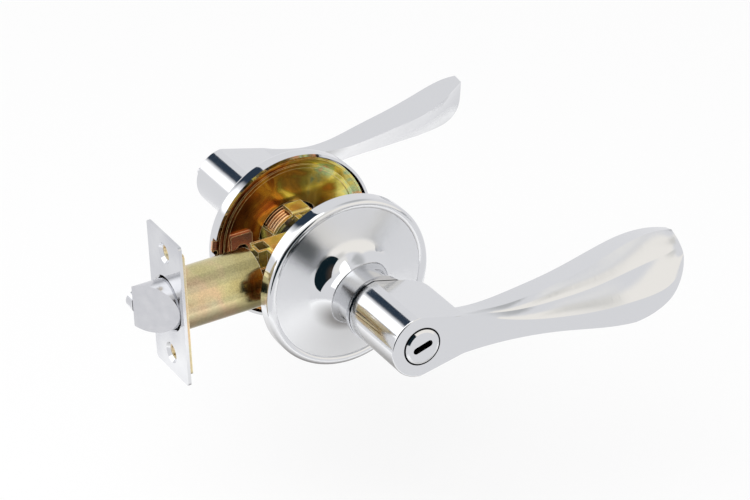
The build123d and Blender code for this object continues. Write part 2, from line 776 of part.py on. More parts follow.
pin_run = plunger_rear - bolt_rear - bolt_flange - pin_wire
pin_out = (plunger_flat + bolt_radius) / 2
keep(coil((-plunger_rear + pin_wire / 2, pin_out, 0), pin_coil_radius, pin_wire, pin_turns, pin_run), "plunger_spring")
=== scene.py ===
"""The looks of a privacy lever lock for a room door, set up as for a studio photograph.

The frame is the CAD's: the origin is where the spindle axis crosses the latch axis, +X runs from the
latch to the lever tips, +Z is up, and the outside lever, with the coin release, is at -Y.
Sizes are in metres, and those whose names end in MM are in millimetres. A distance "out" is measured
from the door's middle along the spindle axis.
"""

from math import atan2, cos, pi, radians, sin

import bpy
from mathutils import Matrix, Vector


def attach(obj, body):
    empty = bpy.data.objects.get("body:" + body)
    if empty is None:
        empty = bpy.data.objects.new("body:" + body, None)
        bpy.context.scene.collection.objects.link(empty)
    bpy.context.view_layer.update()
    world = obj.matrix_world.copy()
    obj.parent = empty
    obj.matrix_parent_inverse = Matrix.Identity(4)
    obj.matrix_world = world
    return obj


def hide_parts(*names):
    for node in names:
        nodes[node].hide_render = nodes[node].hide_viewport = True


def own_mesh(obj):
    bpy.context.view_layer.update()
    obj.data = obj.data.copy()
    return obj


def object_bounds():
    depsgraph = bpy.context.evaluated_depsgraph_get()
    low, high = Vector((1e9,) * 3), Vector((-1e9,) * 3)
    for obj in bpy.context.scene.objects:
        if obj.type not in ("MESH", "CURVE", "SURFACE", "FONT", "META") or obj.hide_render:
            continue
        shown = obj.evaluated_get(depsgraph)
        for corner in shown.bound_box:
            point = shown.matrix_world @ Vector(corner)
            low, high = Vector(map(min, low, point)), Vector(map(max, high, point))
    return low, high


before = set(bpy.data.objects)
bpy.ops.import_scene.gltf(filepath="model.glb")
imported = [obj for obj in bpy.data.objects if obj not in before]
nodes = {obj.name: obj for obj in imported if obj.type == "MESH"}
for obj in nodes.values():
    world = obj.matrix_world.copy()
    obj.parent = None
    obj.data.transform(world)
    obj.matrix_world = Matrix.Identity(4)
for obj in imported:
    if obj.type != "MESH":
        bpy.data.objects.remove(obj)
cad_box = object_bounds()
bpy.ops.object.select_all(action="DESELECT")

# The view: a long lens, a little above the lock and to the latch's side of the outside lever,
# turned slightly so that the door's edge leans as it does in the photograph.
LENS_MM = 134.3
SENSOR_MM = 36.0
CAMERA_DISTANCE = 1.008
CAMERA_AZIMUTH = radians(-29.164)
CAMERA_ELEVATION = radians(29.954)
CAMERA_ROLL = radians(-1.993)
CAMERA_ASIDE = 0.02109
CAMERA_RAISED = 0.0012
CAMERA_ALONG_SPINDLE = 0.0007
NEAREST_SEEN = 0.05
FARTHEST_SEEN = 20.0

back = Vector(
    (
        sin(CAMERA_AZIMUTH) * cos(CAMERA_ELEVATION),
        -cos(CAMERA_AZIMUTH) * cos(CAMERA_ELEVATION),
        sin(CAMERA_ELEVATION),
    )
)
level_right = Vector((cos(CAMERA_AZIMUTH), sin(CAMERA_AZIMUTH), 0))
level_up = back.cross(level_right)
right = cos(CAMERA_ROLL) * level_right + sin(CAMERA_ROLL) * level_up
up = -sin(CAMERA_ROLL) * level_right + cos(CAMERA_ROLL) * level_up
lens_place = back * CAMERA_DISTANCE + level_right * CAMERA_ASIDE + level_up * CAMERA_RAISED
lens_place.y += CAMERA_ALONG_SPINDLE
bpy.ops.object.camera_add()
camera = bpy.context.object
camera.name = "photo_camera"
camera.data.lens = LENS_MM
camera.data.sensor_width = SENSOR_MM
camera.data.clip_start = NEAREST_SEEN
camera.data.clip_end = FARTHEST_SEEN
camera.matrix_world = Matrix.Translation(lens_place) @ Matrix((right, up, back)).transposed().to_4x4()
bpy.context.scene.camera = camera
bpy.context.scene.view_settings.view_transform = "Standard"

# The studio: a pale tent that the chrome mirrors, brightest at its upper left and overhead, with the
# gap behind that gives the hubs their dark stripe. The camera itself sees plain white behind the lock.
# Each patch of the tent is (what it is, azimuth from, to, elevation from, to, soft edge in degrees,
# brightness, tint); azimuth 0 looks out from the outside lever's side and grows towards the lever tips.
TENT_LEVEL = 0.93
TENT_TINT = "#FDFDFF"
TENT_PATCHES = (
    ("ceiling over the camera", -64, 16, 40, 70, 16, 1.06, "#FDFBF7"),
    ("upper left softbox", -153, -84, 9, 90, 6, 1.8, "#FFFFFF"),
    ("overhead softbox", -170, 4, 58, 90, 6, 1.8, "#FFFFFF"),
    ("warm wall on the right", 4, 62, -10, 36, 12, 1.13, "#FFFBF4"),
    ("grey panel beside the lens", -6, 14, 22, 40, 14, 0.88, "#F7F5F0"),
    ("dim corner on the right", 44, 116, 40, 72, 22, 0.66, "#F4F5F6"),
    ("gap behind the lock", -200, -158, 22, 56, 7, 0.11, "#8FB0D8"),
)
WHITE = (1.0, 1.0, 1.0, 1.0)


def linear(colour, level=1.0):
    """An sRGB hex colour, at a level of brightness, as the linear values that Blender's sockets take."""
    parts = [int(colour[i : i + 2], 16) / 255 for i in (1, 3, 5)]
    levels = [c / 12.92 if c <= 0.04045 else ((c + 0.055) / 1.055) ** 2.4 for c in parts]
    return tuple(level * c for c in levels) + (1.0,)


def add(tree, kind, sockets=None, **settings):
    """Adds a node, sets its settings, and sets or links its sockets by name or number."""
    made = tree.nodes.new(kind)
    for name, value in settings.items():
        setattr(made, name, value)
    for name, value in (sockets or {}).items():
        if isinstance(value, bpy.types.NodeSocket):
            tree.links.new(value, made.inputs[name])
        else:
            made.inputs[name].default_value = value
    return made


world = bpy.data.worlds.new("pale_tent")
bpy.context.scene.world = world
world.use_nodes = True
tent = world.node_tree
tent.nodes.clear()
direction = add(tent, "ShaderNodeTexCoord").outputs["Generated"]
axes = add(tent, "ShaderNodeSeparateXYZ", {0: direction}).outputs
behind = add(tent, "ShaderNodeMath", {0: axes["Y"], 1: -1.0}, operation="MULTIPLY").outputs[0]
turn = add(tent, "ShaderNodeMath", {0: axes["X"], 1: behind}, operation="ARCTAN2").outputs[0]
rise = add(tent, "ShaderNodeMath", {0: axes["Z"]}, operation="ARCSINE").outputs[0]
shade = add(tent, "ShaderNodeRGB").outputs[0]
shade.default_value = linear(TENT_TINT, TENT_LEVEL)
for name, turn_from, turn_to, rise_from, rise_to, edge, level, tint in TENT_PATCHES:
    cover = 1.0
    for angle, low, high in ((turn, turn_from, turn_to), (rise, rise_from, rise_to)):
        for inner, outer in ((low + edge / 2, low - edge / 2), (high - edge / 2, high + edge / 2)):
            border = add(
                tent,
                "ShaderNodeMapRange",
                {"Value": angle, "From Min": radians(outer), "From Max": radians(inner)},
                interpolation_type="SMOOTHSTEP",
            ).outputs[0]
            cover = add(tent, "ShaderNodeMath", {0: border, 1: cover}, operation="MULTIPLY").outputs[0]
    patch = linear(tint, level)
    shade = add(tent, "ShaderNodeMix", {0: cover, 6: shade, 7: patch}, data_type="RGBA").outputs[2]
seen = add(tent, "ShaderNodeLightPath").outputs["Is Camera Ray"]
tone = add(tent, "ShaderNodeMix", {0: seen, 6: shade, 7: WHITE}, data_type="RGBA").outputs[2]
sky = add(tent, "ShaderNodeBackground", {"Color": tone, "Strength": 1.0}).outputs[0]
add(tent, "ShaderNodeOutputWorld", {"Surface": sky})

# The softbox over the latch's side: a large soft lamp that gives the lock its gentle shading.
# The chrome doesn't mirror it, because the tent already holds its bright face.
SOFTBOX_WATTS = 6.0
SOFTBOX_PLACE = (-0.55, -0.35, 0.9)
SOFTBOX_WIDTH = 0.9
SOFTBOX_DEPTH = 0.6
bpy.ops.object.light_add(type="AREA", location=SOFTBOX_PLACE)
softbox = bpy.context.object
softbox.name = "softbox"
softbox.data.shape = "RECTANGLE"
softbox.data.size = SOFTBOX_WIDTH
softbox.data.size_y = SOFTBOX_DEPTH
softbox.data.energy = SOFTBOX_WATTS
softbox.rotation_mode = "QUATERNION"
softbox.rotation_quaternion = softbox.location.to_track_quat("Z", "Y")
softbox.visible_glossy = False

# The floor: a plain pale sheet, low enough that the levers swing down clear of it.
# It is lit from behind, so that it looks white, and still takes the lock's faint shadow. In the chrome
# it is a round board, painted darker near the lock, a painted shadow, and open beyond its rim, where the
# tent shows instead.
FLOOR_DROP = 0.0775
FLOOR_WIDTH = 12.0
FLOOR_GLOW = 0.74
SHEET_TINT = "#DCDCDC"
BOARD_FROM = 0.17
BOARD_TO = 0.21
SHADE_FROM = 0.03
SHADE_TO = 0.16
SHADED_BOARD = "#969492"
LIT_BOARD = "#F0F0F0"
bpy.ops.mesh.primitive_plane_add(size=FLOOR_WIDTH, location=(0, 0, cad_box[0][2] - FLOOR_DROP))
floor = bpy.context.object
floor.name = "studio_floor"
paper = bpy.data.materials.new("backlit_white_sheet")
paper.use_nodes = True
sheet = paper.node_tree
sheet.nodes.clear()
glow = add(sheet, "ShaderNodeEmission", {"Color": WHITE, "Strength": 1.0}).outputs[0]
path = add(sheet, "ShaderNodeLightPath").outputs
spot = add(sheet, "ShaderNodeTexCoord").outputs["Object"]
reach = add(sheet, "ShaderNodeVectorMath", {0: spot}, operation="LENGTH").outputs["Value"]
# For mirrors the board's colour is painted darker near the lock, a painted shadow.
away = add(
    sheet, "ShaderNodeMapRange", {"Value": reach, "From Min": SHADE_FROM, "From Max": SHADE_TO}
).outputs[0]
mirrored = add(
    sheet, "ShaderNodeMix", {0: away, 6: linear(SHADED_BOARD), 7: linear(LIT_BOARD)}, data_type="RGBA"
).outputs[2]
pale = add(
    sheet, "ShaderNodeMix", {0: path["Is Glossy Ray"], 6: linear(SHEET_TINT), 7: mirrored}, data_type="RGBA"
).outputs[2]
matt = add(sheet, "ShaderNodeBsdfDiffuse", {"Color": pale}).outputs[0]
share = add(
    sheet, "ShaderNodeMath", {0: path["Is Camera Ray"], 1: FLOOR_GLOW}, operation="MULTIPLY"
).outputs[0]
board = add(sheet, "ShaderNodeMixShader", {0: share, 1: matt, 2: glow}).outputs[0]
past = add(
    sheet, "ShaderNodeMapRange", {"Value": reach, "From Min": BOARD_FROM, "From Max": BOARD_TO}
).outputs[0]
open_share = add(
    sheet, "ShaderNodeMath", {0: path["Is Glossy Ray"], 1: past}, operation="MULTIPLY"
).outputs[0]
clear = add(sheet, "ShaderNodeBsdfTransparent").outputs[0]
surface = add(sheet, "ShaderNodeMixShader", {0: open_share, 1: board, 2: clear}).outputs[0]
add(sheet, "ShaderNodeOutputMaterial", {"Surface": surface})
floor.data.materials.append(paper)

# The dark flag: a black card in front of the lock, on the lens's side, that only its mirrors see. It
# gives the necks their dark patch, black at the right and brown at the upper left.
FLAG_AWAY = 0.17
FLAG_TURN = radians(-30)
FLAG_WIDTH = 0.176
FLAG_HEIGHT = 0.149
FLAG_ASIDE = 0.013
FLAG_MIDDLE = 0.046
FLAG_LEAN = radians(12)
FLAG_BLACK = "#122229"
FLAG_BROWN = "#463D37"
# How far up and aside the brown is full, as shares of the card's height and width from its middle
BROWN_UP = 0.35
BROWN_ASIDE = 0.25
bpy.ops.mesh.primitive_plane_add(
    size=1,
    location=(
        FLAG_AWAY * sin(FLAG_TURN) + FLAG_ASIDE * cos(FLAG_TURN),
        -FLAG_AWAY * cos(FLAG_TURN) + FLAG_ASIDE * sin(FLAG_TURN),
        FLAG_MIDDLE,
    ),
    rotation=(pi / 2, -FLAG_LEAN, FLAG_TURN),
)
flag = bpy.context.object
flag.name = "dark_flag"
flag.scale = (FLAG_WIDTH, FLAG_HEIGHT, 1)
flag.visible_camera = False
flag.visible_diffuse = False
flag.visible_shadow = False
flag.visible_transmission = False
card = bpy.data.materials.new("black_card")
card.use_nodes = True
felt = card.node_tree
felt.nodes.clear()
spot = add(felt, "ShaderNodeTexCoord").outputs["Object"]
axes = add(felt, "ShaderNodeSeparateXYZ", {0: spot}).outputs
lift = add(
    felt, "ShaderNodeMapRange", {"Value": axes["Y"], "From Min": 0.0, "From Max": BROWN_UP}
).outputs[0]
aside = add(
    felt, "ShaderNodeMapRange", {"Value": axes["X"], "From Min": BROWN_ASIDE, "From Max": 0.0}
).outputs[0]
corner = add(felt, "ShaderNodeMath", {0: lift, 1: aside}, operation="MULTIPLY").outputs[0]
tone = add(
    felt, "ShaderNodeMix", {0: corner, 6: linear(FLAG_BLACK), 7: linear(FLAG_BROWN)}, data_type="RGBA"
).outputs[2]
dim = add(felt, "ShaderNodeEmission", {"Color": tone, "Strength": 1.0}).outputs[0]
add(felt, "ShaderNodeOutputMaterial", {"Surface": dim})
flag.data.materials.append(card)

# Roses: round covers deep-drawn from steel sheet, with a rim and rolled bead, a domed dish and the neck
# drawn up out of it. They are drawn here ring by ring from the rim up, and then given their wall.
# The inside one has a notch in its rim, where the hook of its liner holds it.
ROSE_SEGMENTS = 180
ROSE_WALL = 0.001
DOOR_FACE = 0.0175
ROSE_RADIUS = 0.0325
BEAD_TOP = 0.0232
BEAD = 0.0016
BEAD_STEPS = 8
LEDGE_WIDTH = 0.0018
LEDGE_DROP = 0.0007
LEDGE_STEPS = 6
DOME_EDGE_TILT = radians(5)
DOME_NECK_TILT = radians(10)
DOME_STEPS = 14
FLARE = 0.0094
FLARE_STEPS = 24
NECK_RADIUS = 0.01035
NECK_TOP = 0.0419
NOTCH_TOP = 0.02
NOTCH_AT = radians(171)
NOTCH_HALF = radians(4.5)
SMOOTH_BELOW = radians(40)

# Chrome on spun steel: the necks and rims are polished to a mirror, and the dishes are only buffed on
# the turning rose, which leaves a soft sheen and faint rings round the neck. The rings are drawn
# coarser than the real ones, so that they show.
CHROME = "#DBDCDE"
DISH_FROM_MM = 17.4
DISH_TO_MM = 28.6
DISH_FADE_MM = 1.2
DISH_EDGE_MM = 0.6
BUFF_RING_MM = 0.45
RING_DEPTH = 0.00005
RING_STRENGTH = 0.05
HAZE_MM = 14.0
HAZE_RANGE = {"From Min": 0.3, "From Max": 0.75}
MIRROR_ROUGHNESS = {"To Min": 0.03, "To Max": 0.07}
SATIN_ROUGHNESS = {"To Min": 0.16, "To Max": 0.22}


def blank(name):
    """A new material with an empty tree, its tree, and the place on the piece that patterns follow."""
    material = bpy.data.materials.new(name)
    material.use_nodes = True
    material.node_tree.nodes.clear()
    return material, material.node_tree, add(material.node_tree, "ShaderNodeTexCoord").outputs["Object"]


def spindle_distance(tree, position):
    """How far a place is from the spindle axis."""
    flat = add(
        tree, "ShaderNodeVectorMath", {0: position, 1: (1.0, 0.0, 1.0)}, operation="MULTIPLY"
    ).outputs[0]
    return add(tree, "ShaderNodeVectorMath", {0: flat}, operation="LENGTH").outputs["Value"]


spun, tree, position = blank("chrome_on_spun_steel")
radius = spindle_distance(tree, position)
inner = add(
    tree,
    "ShaderNodeMapRange",
    {"Value": radius, "From Min": (DISH_FROM_MM - DISH_FADE_MM) / 1000, "From Max": DISH_FROM_MM / 1000},
    interpolation_type="SMOOTHSTEP",
).outputs[0]
dish = add(
    tree,
    "ShaderNodeMapRange",
    {
        "Value": radius,
        "From Min": (DISH_TO_MM + DISH_EDGE_MM) / 1000,
        "From Max": DISH_TO_MM / 1000,
        "To Max": inner,
    },
).outputs[0]
haze = add(
    tree, "ShaderNodeTexNoise", {"Vector": position, "Scale": 1000 / HAZE_MM, "Detail": 4.0}
).outputs[0]
rings = add(
    tree,
    "ShaderNodeTexNoise",
    {"W": radius, "Scale": 1000 / BUFF_RING_MM, "Detail": 2.0},
    noise_dimensions="1D",
).outputs[0]
mirror_gloss = add(tree, "ShaderNodeMapRange", {"Value": haze, **HAZE_RANGE, **MIRROR_ROUGHNESS}).outputs[0]
satin_gloss = add(tree, "ShaderNodeMapRange", {"Value": haze, **HAZE_RANGE, **SATIN_ROUGHNESS}).outputs[0]
gloss = add(tree, "ShaderNodeMix", {0: dish, 2: mirror_gloss, 3: satin_gloss}).outputs[0]
ring_height = add(tree, "ShaderNodeMath", {0: rings, 1: dish}, operation="MULTIPLY").outputs[0]
relief = add(
    tree, "ShaderNodeBump", {"Strength": RING_STRENGTH, "Distance": RING_DEPTH, "Height": ring_height}
).outputs[0]
skin = add(
    tree,
    "ShaderNodeBsdfPrincipled",
    {"Base Color": linear(CHROME), "Metallic": 1.0, "Roughness": gloss, "Normal": relief},
).outputs[0]
add(tree, "ShaderNodeOutputMaterial", {"Surface": skin})


def rose_profile():
    """The outer face of a rose as (radius, distance out) from the door up to the mouth of the neck."""
    points = [(ROSE_RADIUS, DOOR_FACE), (ROSE_RADIUS, NOTCH_TOP), (ROSE_RADIUS, BEAD_TOP - BEAD)]
    for step in range(1, BEAD_STEPS + 1):
        turn = pi / 2 * step / BEAD_STEPS
        points.append((ROSE_RADIUS - BEAD * (1 - cos(turn)), BEAD_TOP - BEAD * (1 - sin(turn))))
    edge = ROSE_RADIUS - BEAD
    for step in range(1, LEDGE_STEPS + 1):
        turn = pi / 2 * step / LEDGE_STEPS
        points.append((edge - LEDGE_WIDTH * sin(turn), BEAD_TOP - LEDGE_DROP * (1 - cos(turn))))
    flare_from = NECK_RADIUS + FLARE * (1 - sin(DOME_NECK_TILT))
    radius, out = edge - LEDGE_WIDTH, BEAD_TOP - LEDGE_DROP
    run = (radius - flare_from) / DOME_STEPS
    for step in range(1, DOME_STEPS + 1):
        tilt = DOME_EDGE_TILT + (DOME_NECK_TILT - DOME_EDGE_TILT) * (step - 0.5) / DOME_STEPS
        radius, out = radius - run, out + run * sin(tilt) / cos(tilt)
        points.append((radius, out))
    for step in range(1, FLARE_STEPS + 1):
        turn = DOME_NECK_TILT + (pi / 2 - DOME_NECK_TILT) * step / FLARE_STEPS
        climb = FLARE * (cos(DOME_NECK_TILT) - cos(turn))
        points.append((NECK_RADIUS + FLARE * (1 - sin(turn)), out + climb))
    points.append((NECK_RADIUS, NECK_TOP))
    return points


def drawn_rose(name, side):
    """Draws a cover ring by ring from its rim to its neck; side is -1 outside and 1 inside."""
    profile = rose_profile()
    bpy.ops.mesh.primitive_circle_add(
        vertices=ROSE_SEGMENTS,
        radius=profile[0][0],
        location=(0, side * profile[0][1], 0),
        rotation=(pi / 2, 0, 0),
    )
    cover = bpy.context.object
    cover.name = name
    bpy.ops.object.transform_apply(location=True, rotation=True, scale=True)
    bpy.ops.object.mode_set(mode="EDIT")
    bpy.ops.mesh.select_all(action="SELECT")
    for (radius, out), (next_radius, next_out) in zip(profile, profile[1:]):
        share = next_radius / radius
        bpy.ops.mesh.extrude_edges_move(TRANSFORM_OT_translate={"value": (0, side * (next_out - out), 0)})
        bpy.ops.transform.resize(value=(share, 1, share), center_override=(0, side * next_out, 0))
    bpy.ops.mesh.select_all(action="SELECT")
    bpy.ops.mesh.normals_make_consistent(inside=False)
    bpy.ops.object.mode_set(mode="OBJECT")
    return cover


def notch_rim(cover):
    """Cuts the notch for the liner's hook out of the lowest band of a rim."""
    bpy.ops.object.mode_set(mode="EDIT")
    bpy.ops.mesh.select_mode(type="FACE")
    bpy.ops.mesh.select_all(action="DESELECT")
    bpy.ops.object.mode_set(mode="OBJECT")
    for face in cover.data.polygons:
        x, y, z = face.center
        low = DOOR_FACE < abs(y) < NOTCH_TOP
        face.select = low and abs(atan2(z, x) - NOTCH_AT) < NOTCH_HALF
    bpy.ops.object.mode_set(mode="EDIT")
    bpy.ops.mesh.delete(type="FACE")
    bpy.ops.mesh.select_mode(type="VERT")
    bpy.ops.object.mode_set(mode="OBJECT")


def walled(cover):
    """Gives a cover its sheet thickness, inwards, and smooth shading."""
    wall = cover.modifiers.new("sheet", "SOLIDIFY")
    wall.thickness = ROSE_WALL
    wall.offset = -1
    bpy.ops.object.modifier_apply(modifier=wall.name)
    bpy.ops.object.shade_smooth_by_angle(angle=SMOOTH_BELOW)


for name, node, side in (("outside_cover", "outside_rose", -1), ("inside_cover", "inside_rose", 1)):
    cover = drawn_rose(name, side)
    if node == "inside_rose":
        notch_rim(cover)
    walled(cover)
    cover.data.materials.append(spun)
    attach(cover, "lock_case")
    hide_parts(node)

# Neck bushes, faceplate and thumb turn: turned, stamped and cast pieces, polished bright before they are
# chromed. That leaves a hard mirror with a faint haze from handling and the slow waves of the wheel.
POLISHED = "#DCDDDF"
HANDLED = "#CDCED2"
PLATE_ROUGHNESS = {"To Min": 0.04, "To Max": 0.09}
CLOUD_RANGE = {"From Min": 0.35, "From Max": 0.65}
WAVE_MM = 9.0
WAVE_DEPTH = 0.0002
WAVE_STRENGTH = 0.12


def dress(names, material):
    """Gives CAD nodes their finish."""
    for name in names:
        nodes[name].data.materials.clear()
        nodes[name].data.materials.append(material)


def polishing_waves(tree, position):
    """The slow waves that a polishing wheel leaves, as a normal."""
    wave = add(
        tree, "ShaderNodeTexNoise", {"Vector": position, "Scale": 1000 / WAVE_MM, "Detail": 1.0}
    ).outputs[0]
    return add(
        tree, "ShaderNodeBump", {"Strength": WAVE_STRENGTH, "Distance": WAVE_DEPTH, "Height": wave}
    ).outputs[0]


bright, tree, position = blank("polished_chrome_plate")
haze = add(
    tree, "ShaderNodeTexNoise", {"Vector": position, "Scale": 1000 / HAZE_MM, "Detail": 5.0}
).outputs[0]
gloss = add(tree, "ShaderNodeMapRange", {"Value": haze, **HAZE_RANGE, **PLATE_ROUGHNESS}).outputs[0]
clouds = add(tree, "ShaderNodeMapRange", {"Value": haze, **CLOUD_RANGE}).outputs[0]
tone = add(
    tree, "ShaderNodeMix", {0: clouds, 6: linear(POLISHED), 7: linear(HANDLED)}, data_type="RGBA"
).outputs[2]
skin = add(
    tree,
    "ShaderNodeBsdfPrincipled",
    {"Base Color": tone, "Metallic": 1.0, "Roughness": gloss, "Normal": polishing_waves(tree, position)},
).outputs[0]
add(tree, "ShaderNodeOutputMaterial", {"Surface": skin})
dress(("outside_neck_bush", "inside_neck_bush", "faceplate", "thumb_turn"), bright)

# Levers: zinc castings, ground, buffed and chromed, each held on its spindle by a catch. Buffing leaves
# the mirror a little softer than on the pressed roses. The deep recess round the button is rough and
# painted dark, a painted shade.
RECESS_RADIUS_MM = 7.4
RECESS_FACE_MM = 72.95
RECESS_PAINTED_SHADE = "#2A2C30"
BUFFED_ROUGHNESS = {"To Min": 0.06, "To Max": 0.13}
DULL = 0.6
cast, tree, position = blank("buffed_chrome_on_zinc_casting")
haze = add(
    tree, "ShaderNodeTexNoise", {"Vector": position, "Scale": 1000 / HAZE_MM, "Detail": 5.0}
).outputs[0]
gloss = add(tree, "ShaderNodeMapRange", {"Value": haze, **HAZE_RANGE, **BUFFED_ROUGHNESS}).outputs[0]
radius = spindle_distance(tree, position)
out = add(tree, "ShaderNodeSeparateXYZ", {0: position}).outputs["Y"]
depth = add(tree, "ShaderNodeMath", {0: out}, operation="ABSOLUTE").outputs[0]
near = add(
    tree, "ShaderNodeMath", {0: radius, 1: RECESS_RADIUS_MM / 1000}, operation="LESS_THAN"
).outputs[0]
sunk = add(tree, "ShaderNodeMath", {0: depth, 1: RECESS_FACE_MM / 1000}, operation="LESS_THAN").outputs[0]
recess = add(tree, "ShaderNodeMath", {0: near, 1: sunk}, operation="MULTIPLY").outputs[0]
# The recess round the button is painted dark, a painted shade.
tint = add(
    tree, "ShaderNodeMix", {0: recess, 6: linear(CHROME), 7: linear(RECESS_PAINTED_SHADE)}, data_type="RGBA"
).outputs[2]
gloss = add(tree, "ShaderNodeMix", {0: recess, 2: gloss, 3: DULL}).outputs[0]
skin = add(
    tree,
    "ShaderNodeBsdfPrincipled",
    {"Base Color": tint, "Metallic": 1.0, "Roughness": gloss, "Normal": polishing_waves(tree, position)},
).outputs[0]
add(tree, "ShaderNodeOutputMaterial", {"Surface": skin})
dress(("outside_lever", "inside_lever"), cast)

# Release button: a turned disc, polished on its face only. The walls of the slot that takes a coin, and
# the rim that turns in the lever's bore, are painted dark and rough, a painted shade.
SLOT_FACE_MM = 73.5
SLOT_REACH_MM = 5.0
BUTTON_EDGE_MM = 6.55
SLOT_PAINTED_SHADE = "#16181C"
BUTTON_ROUGHNESS = {"To Min": 0.05, "To Max": 0.1}
button, tree, position = blank("polished_chrome_with_painted_slot_shade")
haze = add(
    tree, "ShaderNodeTexNoise", {"Vector": position, "Scale": 1000 / HAZE_MM, "Detail": 5.0}
).outputs[0]
gloss = add(tree, "ShaderNodeMapRange", {"Value": haze, **HAZE_RANGE, **BUTTON_ROUGHNESS}).outputs[0]
out = add(tree, "ShaderNodeSeparateXYZ", {0: position}).outputs["Y"]
depth = add(tree, "ShaderNodeMath", {0: out}, operation="ABSOLUTE").outputs[0]
radius = spindle_distance(tree, position)
near = add(tree, "ShaderNodeMath", {0: radius, 1: SLOT_REACH_MM / 1000}, operation="LESS_THAN").outputs[0]
below = add(tree, "ShaderNodeMath", {0: depth, 1: SLOT_FACE_MM / 1000}, operation="LESS_THAN").outputs[0]
slot_wall = add(tree, "ShaderNodeMath", {0: near, 1: below}, operation="MULTIPLY").outputs[0]
rim = add(
    tree, "ShaderNodeMath", {0: radius, 1: BUTTON_EDGE_MM / 1000}, operation="GREATER_THAN"
).outputs[0]
# The slot walls and the rim are painted dark, a painted shade.
dark = add(tree, "ShaderNodeMath", {0: slot_wall, 1: rim}, operation="MAXIMUM").outputs[0]
tint = add(
    tree, "ShaderNodeMix", {0: dark, 6: linear(CHROME), 7: linear(SLOT_PAINTED_SHADE)}, data_type="RGBA"
).outputs[2]
gloss = add(tree, "ShaderNodeMix", {0: dark, 2: gloss, 3: DULL}).outputs[0]
skin = add(
    tree, "ShaderNodeBsdfPrincipled", {"Base Color": tint, "Metallic": 1.0, "Roughness": gloss}
).outputs[0]
add(tree, "ShaderNodeOutputMaterial", {"Surface": skin})
dress(("release_button",), button)

# Chassis frame and retractor: pressed steel, folded and plated with yellow zinc. The passivated film is
# a few tenths of a micron thick, so its colour wanders from olive through yellow to tan. The sheared
# edges are painted pale and less metallic, a painted highlight.
ZINC_PATCH_MM = 11.0
ZINC_TINTS = ((0.25, "#B4BC6C"), (0.4, "#DCD67C"), (0.5, "#ECD88A"), (0.6, "#DCBE70"), (0.72, "#CCAA64"))
ZINC_SWIRL = 0.8
ZINC_ROUGHNESS = 0.24
ZINC_METAL = {"To Min": 0.85, "To Max": 0.3}
EDGE_MM = 0.35
EDGE_SAMPLES = 4
EDGE_RANGE = {"From Min": 0.99, "From Max": 0.88}
EDGE_PAINTED_HIGHLIGHT = "#FBEFC8"


def plated_film(tree, position, patch_mm, tints, drift=None, detail=3.0, swirl=0.0):
    """The colour of a thin plated film, which wanders through the tints in patches of this size."""
    cloud = add(
        tree,
        "ShaderNodeTexNoise",
        {"Vector": position, "Scale": 1000 / patch_mm, "Detail": detail, "Distortion": swirl},
    ).outputs[0]
    if drift is not None:
        cloud = add(tree, "ShaderNodeMath", {0: cloud, 1: drift}, operation="ADD").outputs[0]
    film = add(tree, "ShaderNodeValToRGB", {0: cloud})
    stops = film.color_ramp.elements
    while len(stops) < len(tints):
        stops.new(0.5)
    for stop, (at, colour) in zip(stops, tints):
        stop.position = at
        stop.color = linear(colour)
    return film.outputs[0]


def painted_highlight_edges(tree):
    """Where the edges of a pressing are, for their painted highlight: 1 on an edge and 0 on a face."""
    rounded = add(tree, "ShaderNodeBevel", {"Radius": EDGE_MM / 1000}, samples=EDGE_SAMPLES).outputs[0]
    face = add(tree, "ShaderNodeNewGeometry").outputs["Normal"]
    flat = add(
        tree, "ShaderNodeVectorMath", {0: rounded, 1: face}, operation="DOT_PRODUCT"
    ).outputs["Value"]
    return add(tree, "ShaderNodeMapRange", {"Value": flat, **EDGE_RANGE}).outputs[0]


zinc, tree, position = blank("yellow_passivated_zinc")
film = plated_film(tree, position, ZINC_PATCH_MM, ZINC_TINTS, swirl=ZINC_SWIRL)
edge = painted_highlight_edges(tree)
# The edges are painted pale and less metallic, a painted highlight.
tint = add(tree, "ShaderNodeMix", {0: edge, 6: film, 7: linear(EDGE_PAINTED_HIGHLIGHT)}, data_type="RGBA").outputs[2]
metal = add(tree, "ShaderNodeMapRange", {"Value": edge, **ZINC_METAL}).outputs[0]
skin = add(
    tree, "ShaderNodeBsdfPrincipled", {"Base Color": tint, "Metallic": metal, "Roughness": ZINC_ROUGHNESS}
).outputs[0]
add(tree, "ShaderNodeOutputMaterial", {"Surface": skin})
dress(("chassis_frame", "retractor"), zinc)

# Hubs: steel sleeves, turned and threaded, staked into the chassis frame and plated with it. Their film
# is thinner and coppery, with the fine marks of the lathe and the thread's bright crests.
HUB_TINTS = ((0.35, "#E8C49C"), (0.65, "#D8A878"))
TURNED_MM = 0.25
TURNED_ROUGHNESS = {"To Min": 0.12, "To Max": 0.26}
THREAD_MM = 1.5
THREAD_DEPTH = 0.0002
THREAD_STRENGTH = 0.8
copper, tree, position = blank("coppery_zinc_on_turned_hub")
film = plated_film(tree, position, ZINC_PATCH_MM, HUB_TINTS, detail=2.0)
along = add(tree, "ShaderNodeSeparateXYZ", {0: position}).outputs["Y"]
marks = add(
    tree,
    "ShaderNodeTexNoise",
    {"W": along, "Scale": 1000 / TURNED_MM, "Detail": 2.0},
    noise_dimensions="1D",
).outputs[0]
gloss = add(tree, "ShaderNodeMapRange", {"Value": marks, **TURNED_ROUGHNESS}).outputs[0]
phase = add(
    tree, "ShaderNodeMath", {0: along, 1: 2 * pi * 1000 / THREAD_MM}, operation="MULTIPLY"
).outputs[0]
crest = add(tree, "ShaderNodeMath", {0: phase}, operation="SINE").outputs[0]
relief = add(
    tree, "ShaderNodeBump", {"Strength": THREAD_STRENGTH, "Distance": THREAD_DEPTH, "Height": crest}
).outputs[0]
skin = add(
    tree,
    "ShaderNodeBsdfPrincipled",
    {"Base Color": film, "Metallic": 1.0, "Roughness": gloss, "Normal": relief},
).outputs[0]
add(tree, "ShaderNodeOutputMaterial", {"Surface": skin})
dress(("outside_hub", "inside_hub"), copper)
